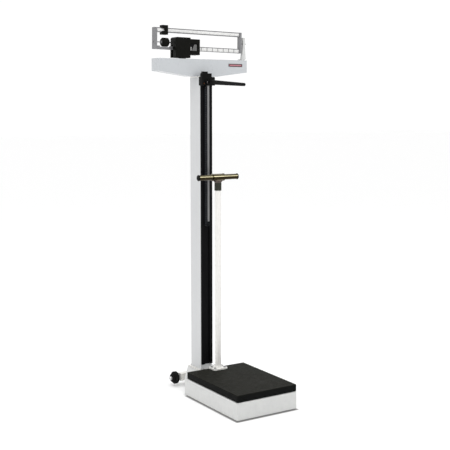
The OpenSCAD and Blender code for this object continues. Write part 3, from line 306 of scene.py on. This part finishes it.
collar_grey, _ = finish_material(
    "ribbed collar", (0.035, 0.037, 0.030), (0.055, 0.057, 0.048), 0.5, blotch=(120.0, 0.6),
    grain=(600.0, 0.8), bump=0.08, specular=0.1)
aluminium, _ = finish_material(
    "anodised strip", (0.24, 0.24, 0.24), (0.17, 0.17, 0.17), 0.36, metallic=0.9,
    blotch=(30.0, 0.4), grain=(900.0, 0.6), bump=0.02, stretch=(1.0, 1.0, 0.03))
beam_grey, _ = finish_material(
    "beam enamel over casting", (0.20, 0.20, 0.207), (0.14, 0.14, 0.147), 0.38, metallic=0.3,
    blotch=(70.0, 0.5), grain=(420.0, 1.0), bump=0.1, coat=0.15)

# Ribbed mat: fine ribs run from front to back, and its skirt is painted a deeper black as shade on
# its sides
RIB_PITCH = 4.5 * MM
RIB_RELIEF = 1.2
mat_rubber, mat_group = finish_material(
    "ribbed mat", (0.0105, 0.0105, 0.0078), (0.0185, 0.0185, 0.0145), 0.6, blotch=(35.0, 0.6),
    grain=(500.0, 1.0), bump=0.25, specular=0.05)
mat_tree = mat_rubber.node_tree
rib = math_node(mat_tree, "MULTIPLY", axis_value(mat_tree, (1, 0, 0), 0.0),
                2 * math.pi / RIB_PITCH)
rib = math_node(mat_tree, "MULTIPLY", math_node(mat_tree, "SINE", rib), RIB_RELIEF)
mat_relief = next(node for node in mat_tree.nodes if node.type == "BUMP")
rib_height = math_node(mat_tree, "ADD", rib, mat_group.outputs["Height"])
mat_tree.links.new(rib_height, mat_relief.inputs["Height"])
mat_low, mat_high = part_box("platform_mat")
SKIRT_DEPTH = 1.5 * MM
SKIRT_PAINTED_SHADE = (0.0045, 0.005, 0.0045, 1)
# Painted shade: below the top's edge the skirt gets a deeper black than the top
skirt_shade_mask = math_node(mat_tree, "LESS_THAN", axis_value(mat_tree, (0, 0, 1), 0.0),
                  mat_high.z - SKIRT_DEPTH)
mat_shader = mat_tree.nodes["Principled BSDF"]
mat_tree.links.new(mix_colour(mat_tree, skirt_shade_mask, mat_group.outputs["Colour"],
                              SKIRT_PAINTED_SHADE), mat_shader.inputs["Base Color"])

# Outer rod: black with light height marks along its left half
rod_black, _ = finish_material(
    "graduated rod", (0.010, 0.011, 0.013), (0.018, 0.019, 0.022), 0.34, blotch=(25.0, 0.4),
    grain=(900.0, 0.5), bump=0.04, specular=0.05)
rod_tree = rod_black.node_tree
ROD_LEFT_EDGE = 10.5 * MM  # how far left of the column's middle the marks start
add_marks(rod_black, (0.048, 0.048, 0.050),
          axis_value(rod_tree, (0, 0, 1), 0.0), axis_value(rod_tree, (1, 0, 0), ROD_LEFT_EDGE),
          pitch=0.009, every=5.0, width=0.0022, short=0.0045, long=0.0085)

# Beam scales: white strips with dark lines that follow the beam's slope
beam_scale, _ = finish_material(
    "beam scale", (0.72, 0.72, 0.71), (0.62, 0.62, 0.61), 0.3, metallic=0.15,
    blotch=(40.0, 0.5), grain=(700.0, 0.4), bump=0.02)
scale_tree = beam_scale.node_tree
along_beam = (math.cos(TILT), 0, -math.sin(TILT))
up_beam = (math.sin(TILT), 0, math.cos(TILT))


def beam_level(z):
    """Offset that makes the height above a level line of the untilted beam zero."""
    return -(FULCRUM_X * math.sin(TILT) + FULCRUM_Z * math.cos(TILT)) - (z - FULCRUM_Z)


SOLID = (1.0, 1.0, 1.0)  # pitch, long line every, width: one unbroken line along the beam
for level, spacing, short, long in (
        (1.4560, SOLID, 0.0022, 0.0022),                 # upper strip, lower edge
        (1.4695, SOLID, 0.0050, 0.0050),                 # upper strip, upper edge
        (1.4575, (0.004, 5.0, 0.0007), 0.0030, 0.0065),  # upper strip, fine lines
        (1.4035, SOLID, 0.0025, 0.0025),                 # lower strip, upper edge
        (1.3905, (0.0052, 5.0, 0.0008), 0.0040, 0.0090),  # lower strip, fine lines
        (1.3905, (0.0260, 1.0, 0.0026), 0.0160, 0.0160)):  # lower strip, full steps
    pitch, every, width = spacing
    add_marks(beam_scale, (0.10, 0.10, 0.11),
              axis_value(scale_tree, along_beam, 0.2),
              axis_value(scale_tree, up_beam, beam_level(level)),
              pitch, every, width, short, long)

# Small red plate: a dark rim, a dark red field and a paler line along its middle
PLATE_RIM_SIDE = 1.5 * MM
PLATE_RIM_EDGE = 2.2 * MM
PLATE_LINE_END = 6.0 * MM
PLATE_LINE_HALF = 1.3 * MM
plate_red, plate_group = finish_material(
    "red plate", (0.125, 0.012, 0.022), (0.09, 0.008, 0.016), 0.3, blotch=(90.0, 0.4),
    grain=(800.0, 0.3), bump=0.02, coat=0.4)
plate_tree = plate_red.node_tree
plate_low, plate_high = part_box("nameplate")
plate_mid = (plate_low + plate_high) / 2
plate_half = (plate_high - plate_low) / 2
from_side = math_node(plate_tree, "ABSOLUTE", axis_value(plate_tree, (1, 0, 0), -plate_mid.x))
from_middle = math_node(plate_tree, "ABSOLUTE", axis_value(plate_tree, (0, 0, 1), -plate_mid.z))
line = math_node(plate_tree, "MULTIPLY",
                 math_node(plate_tree, "LESS_THAN", from_side, plate_half.x - PLATE_LINE_END),
                 math_node(plate_tree, "LESS_THAN", from_middle, PLATE_LINE_HALF))
rim = math_node(plate_tree, "MAXIMUM",
                math_node(plate_tree, "GREATER_THAN", from_side, plate_half.x - PLATE_RIM_SIDE),
                math_node(plate_tree, "GREATER_THAN", from_middle, plate_half.z - PLATE_RIM_EDGE))
plate_shader = plate_tree.nodes["Principled BSDF"]
lined = mix_colour(plate_tree, line, plate_group.outputs["Colour"], (0.62, 0.22, 0.27, 1))
plate_tree.links.new(mix_colour(plate_tree, rim, lined, (0.025, 0.015, 0.02, 1)),
                     plate_shader.inputs["Base Color"])


# ---- carried-over nodes: finish and softened edges ----

def round_edges(piece, width, segments=2, angle=32):
    """Rounds a piece's edges with modifiers only, so its own mesh stays as it came."""
    weld = piece.modifiers.new("join", "WELD")
    weld.merge_threshold = 1e-5
    flat = piece.modifiers.new("flat faces", "DECIMATE")
    flat.decimate_type = "DISSOLVE"
    flat.angle_limit = math.radians(0.6)
    bevel = piece.modifiers.new("edges", "BEVEL")
    bevel.width = width * MM
    bevel.segments = segments
    bevel.limit_method = "ANGLE"
    bevel.angle_limit = math.radians(angle)
    bevel.use_clamp_overlap = True
    shading = piece.modifiers.new("shading", "WEIGHTED_NORMAL")
    shading.weight = 90


FINISHES = {
    "base_pan": (casting, 2.2), "rubber_feet": (rubber_black, 0.8), "foot_screws": (steel, 0.3),
    "lever_stands": (lever_grey, 0.8), "lever_bearings": (steel, 0.3),
    "column_tube": (enamel, 1.6), "column_flanges": (foot_enamel, 0.8),
    "column_bolts": (steel, 0.5),
    "guide_channel": (channel_black, 0.5), "channel_screws": (channel_black, 0.3),
    "box_shell": (box_enamel, 1.6), "box_back_cover": (box_enamel, 0.6),
    "box_screws": (steel, 0.3), "box_shelf": (lever_grey, 0.5), "shelf_bolts": (steel, 0.4),
    "beam_stands": (lever_grey, 0.5), "trig_loop": (casting, 1.0), "nameplate": (plate_red, 0.2),
    "wheel_brackets": (foot_enamel, 1.0), "wheel_axle": (steel, 0.4),
    "axle_nuts": (bright_steel, 0.4),
    "wheel_left": (rubber_black, 0.8), "wheel_right": (rubber_black, 0.8),
    "platform_plate": (platform_dark, 1.0), "platform_mat": (mat_rubber, 1.8),
    "platform_bearings": (lever_grey, 0.6), "post_flange": (post_enamel, 1.2),
    "post_screws": (steel, 0.5), "post_tube": (post_enamel, 0.3),
    "post_collar": (collar_grey, 0.3), "tee_fitting": (chrome, 0.6), "crossbar": (chrome, 0.3),
    "bar_caps": (head_black, 0.8), "long_lever": (lever_grey, 1.0),
    "long_lever_knives": (steel, 0.1), "lever_saddle": (steel, 0.3),
    "short_lever": (lever_grey, 1.0), "short_lever_knives": (steel, 0.1),
    "draw_rod": (steel, 0.3), "transfer_lever": (lever_grey, 0.5),
    "transfer_knives": (steel, 0.1), "beam_link": (steel, 0.3),
    "beam_frame": (beam_grey, 0.9), "scale_strips": (beam_scale, 0.1),
    "beam_knives": (steel, 0.1), "beam_tip": (beam_grey, 0.4), "balance_screw": (steel, 0.2),
    "balance_bush": (steel, 0.2), "balance_ball": (poise_black, 0.8),
    "main_poise": (poise_black, 1.4), "poise_window": (head_black, 0.2),
    "small_poise": (poise_black, 1.2), "outer_rod": (rod_black, 0.5),
    "rod_button": (head_black, 0.4), "inner_rod": (aluminium, 0.2), "head_block": (head_black, 0.9),
    "arm_pin": (steel, 0.4), "head_arm": (head_black, 1.8),
}
for name, (material, width) in FINISHES.items():
    slots = nodes[name].data.materials
    slots.clear()
    slots.append(material)
    round_edges(nodes[name], width)


# ---- added pieces ----

def made_piece(name, build, material, body, width, level=True):
    """Turns a bmesh into a piece that rides on a body; level pieces follow the beam's slope."""
    mesh = bpy.data.meshes.new(name)
    build.to_mesh(mesh)
    build.free()
    piece = bpy.data.objects.new(name, mesh)
    bpy.context.scene.collection.objects.link(piece)
    piece.data.materials.append(material)
    if level:
        about = Vector((FULCRUM_X, 0, FULCRUM_Z))
        turn = Matrix.Rotation(TILT, 4, "Y")
        mesh.transform(Matrix.Translation(about) @ turn @ Matrix.Translation(-about))
    round_edges(piece, width)
    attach(piece, body)
    return piece


def outline_plate(outline, y_front, y_back):
    """A flat plate whose outline is given in X and Z, in metres."""
    build = bmesh.new()
    front = [build.verts.new((x, y_front, z)) for x, z in outline]
    back = [build.verts.new((x, y_back, z)) for x, z in outline]
    build.faces.new(front)
    build.faces.new(back[::-1])
    count = len(outline)
    for i in range(count):
        j = (i + 1) % count
        build.faces.new((front[i], back[i], back[j], front[j]))
    bmesh.ops.recalc_face_normals(build, faces=build.faces)
    return build


def add_plate(build, outline, y_front, y_back):
    """Adds one more flat plate to a bmesh."""
    spare = bpy.data.meshes.new("spare")
    part = outline_plate(outline, y_front, y_back)
    part.to_mesh(spare)
    part.free()
    build.from_mesh(spare)
    bpy.data.meshes.remove(spare)


def screw_head(centre, radius=2.6 * MM, height=1.4 * MM, slot_width=0.9 * MM, count=28):
    """A slotted pan head that faces the front, its slot cut as a real groove."""
    build = bmesh.new()
    x, y, z = centre
    cut = slot_width / 2
    for side in (1, -1):
        half = []
        for i in range(count // 2 + 1):
            angle = math.pi * i / (count // 2)
            rise = max(radius * math.sin(angle), cut)
            half.append((x + radius * math.cos(angle), z + side * rise))
        add_plate(build, half[::side], y - height, y)
    disc = []
    for i in range(count):
        angle = 2 * math.pi * i / count
        disc.append((x + radius * math.cos(angle), z + radius * math.sin(angle)))
    add_plate(build, disc, y - height * 0.45, y)
    return build


dial_low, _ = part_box("poise_window")
dial_front = dial_low.y - 0.8 * MM
pale_dial, _ = finish_material(
    "dial plate", (0.11, 0.11, 0.107), (0.075, 0.075, 0.072), 0.35, metallic=0.2,
    blotch=(90.0, 0.4), grain=(700.0, 0.4), bump=0.02)
bright_dial, _ = finish_material(
    "dial pointer", (0.34, 0.34, 0.33), (0.26, 0.26, 0.25), 0.25, metallic=0.2,
    blotch=(90.0, 0.4), grain=(700.0, 0.4), bump=0.02)
made_piece("dial_pointer", outline_plate(
    [(-0.0605, 1.3885), (-0.0550, 1.3885), (-0.0540, 1.4020), (-0.0605, 1.4035)],
    dial_front, dial_low.y), bright_dial, "large_poise", 0.2)
made_piece("dial_scale", outline_plate(
    [(-0.0530, 1.3880), (-0.0300, 1.3880), (-0.0300, 1.4130), (-0.0420, 1.4130)],
    dial_front, dial_low.y), pale_dial, "large_poise", 0.2)

block_low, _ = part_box("head_block")
BLOCK_FACE_Y = 0.1463
SCREW_ABOVE_BLOCK = 8 * MM
copper, _ = finish_material(
    "coppered screw", (0.46, 0.20, 0.10), (0.32, 0.15, 0.08), 0.3, metallic=1.0,
    blotch=(120.0, 0.6), grain=(900.0, 0.4), bump=0.02)
for name, screw_x, metal in (("block_screw_left", -0.0215, copper),
                             ("block_screw_right", 0.0215, steel)):
    head = screw_head((screw_x, BLOCK_FACE_Y, block_low.z + SCREW_ABOVE_BLOCK))
    made_piece(name, head, metal, "upper_rod", 0.1, level=False)


# ---- room, light and camera ----

floor_finish, floor_group = finish_material(
    "plain floor", (0.93, 0.93, 0.93), (0.91, 0.91, 0.91), 0.85, blotch=(1.0, 0.1),
    grain=(40.0, 0.1), bump=0.01)
floor_shader = floor_finish.node_tree.nodes["Principled BSDF"]
# The floor glows a little, so that it reads as plain white
floor_shader.inputs["Emission Color"].default_value = (1, 1, 1, 1)
floor_shader.inputs["Emission Strength"].default_value = 0.09

# A dark line painted on the floor around the base stands in for its contact shadow
floor_tree = floor_finish.node_tree
stand_mid = (mat_low + mat_high) / 2
stand_half = (mat_high - mat_low) / 2
beside = math_node(floor_tree, "SUBTRACT", math_node(
    floor_tree, "ABSOLUTE", axis_value(floor_tree, (1, 0, 0), -stand_mid.x)), stand_half.x)
before = math_node(floor_tree, "SUBTRACT", math_node(
    floor_tree, "ABSOLUTE", axis_value(floor_tree, (0, 1, 0), -stand_mid.y)), stand_half.y)
near_base = floor_tree.nodes.new("ShaderNodeMapRange")
near_base.interpolation_type = "SMOOTHSTEP"
for socket, number in zip(near_base.inputs[1:5], (0.003, 0.012, 1.0, 0.0)):
    socket.default_value = number
floor_tree.links.new(math_node(floor_tree, "MAXIMUM", beside, before), near_base.inputs[0])
floor_tree.links.new(mix_colour(floor_tree, near_base.outputs[0], floor_group.outputs["Colour"],
                                (0.22, 0.215, 0.21, 1)), floor_shader.inputs["Base Color"])
floor_mesh = bpy.data.meshes.new("floor")
floor_build = bmesh.new()
bmesh.ops.create_grid(floor_build, x_segments=4, y_segments=4, size=30)
floor_build.to_mesh(floor_mesh)
floor_build.free()
floor = bpy.data.objects.new("floor", floor_mesh)
floor.data.materials.append(floor_finish)
bpy.context.scene.collection.objects.link(floor)

world = bpy.data.worlds.new("studio")
bpy.context.scene.world = world
world.use_nodes = True
world_tree = world.node_tree
looking = world_tree.nodes.new("ShaderNodeTexCoord").outputs["Generated"]


def world_map(value, from_low, from_high, to_low, to_high):
    node = world_tree.nodes.new("ShaderNodeMapRange")
    node.interpolation_type = "SMOOTHSTEP"
    for socket, number in zip(node.inputs[1:5], (from_low, from_high, to_low, to_high)):
        socket.default_value = number
    world_tree.links.new(value, node.inputs[0])
    return node.outputs[0]


# A white backdrop; the room behind the camera is darker, with a bright band overhead, and the
# right side is dimmer
to_room = world_tree.nodes.new("ShaderNodeVectorMath")
to_room.operation = "DOT_PRODUCT"
to_room.inputs[1].default_value = (-0.538, -0.843, 0.0)
world_tree.links.new(looking, to_room.inputs[0])
apart = world_tree.nodes.new("ShaderNodeSeparateXYZ")
world_tree.links.new(looking, apart.inputs[0])
rise = world_map(apart.outputs["Z"], 0.22, 0.42, 0.30, 1.55)
fall = world_map(apart.outputs["Z"], 0.55, 0.80, 1.0, 0.5)
room = math_node(world_tree, "MULTIPLY", rise, fall)
inside = world_map(to_room.outputs["Value"], 0.05, 0.55, 0.0, 1.0)
strength = math_node(world_tree, "ADD", 1.04, math_node(
    world_tree, "MULTIPLY", inside, math_node(world_tree, "SUBTRACT", room, 1.04)))
to_right = world_tree.nodes.new("ShaderNodeVectorMath")
to_right.operation = "DOT_PRODUCT"
to_right.inputs[1].default_value = (0.843, -0.538, 0.0)
world_tree.links.new(looking, to_right.inputs[0])
strength = math_node(world_tree, "MULTIPLY", strength,
                     world_map(to_right.outputs["Value"], 0.35, 0.85, 1.0, 0.5))
world_tree.nodes["Background"].inputs["Color"].default_value = (1, 1, 1, 1)
world_tree.links.new(strength, world_tree.nodes["Background"].inputs["Strength"])


def softbox(name, place, target, size, power):
    light = bpy.data.lights.new(name, "AREA")
    light.shape = "RECTANGLE"
    light.size, light.size_y = size
    light.energy = power
    lamp = bpy.data.objects.new(name, light)
    lamp.location = place
    lamp.rotation_euler = (Vector(target) - Vector(place)).to_track_quat("-Z", "Y").to_euler()
    bpy.context.scene.collection.objects.link(lamp)
    return lamp


softbox("left softbox", (-2.6, 0.2, 1.9), (0, 0.1, 0.7), (1.8, 2.2), 3)
softbox("front softbox", (1.6, -2.8, 2.2), (0, 0.1, 0.6), (1.8, 1.8), 20)
softbox("top softbox", (-0.3, -0.4, 3.4), (0, 0.1, 0.2), (2.6, 2.6), 24)

camera_data = bpy.data.cameras.new("camera")
camera_data.lens = 74.44
camera_data.sensor_width = 36
camera_data.clip_end = 100
camera = bpy.data.objects.new("camera", camera_data)
camera.location = (-1.9766, -3.0684, 1.1728)
camera.rotation_euler = (math.radians(90 - 7.356), 0, math.radians(-32.58))
bpy.context.scene.collection.objects.link(camera)
bpy.context.scene.camera = camera
bpy.context.scene.view_settings.view_transform = "Standard"
